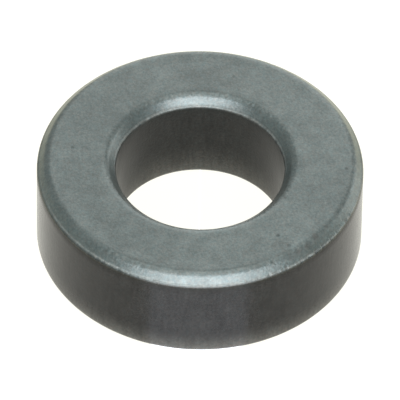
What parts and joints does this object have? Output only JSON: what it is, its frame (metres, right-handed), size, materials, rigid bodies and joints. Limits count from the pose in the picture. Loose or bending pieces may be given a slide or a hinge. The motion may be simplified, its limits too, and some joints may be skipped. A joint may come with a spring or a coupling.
{
  "type": "ferrite core",
  "caption": "Small ring core of fired ferrite with a straight bore and chamfered, stepped rims, for winding a coil on or for a wire to pass through.",
  "frame": {"origin": "on the ring's axis, in the plane of the lower face", "axes": "+Z along the bore, up from the face that it rests on; the ring is the same all round, so +X and +Y point at no feature"},
  "size_m": [0.0094, 0.0094, 0.0033],
  "materials": {
    "ferrite": "unglazed, matte with a soft sheen, as fired"
  },
  "bodies": {
    "root": {"ferrite_core": "ferrite"}
  },
  "joints": []
}
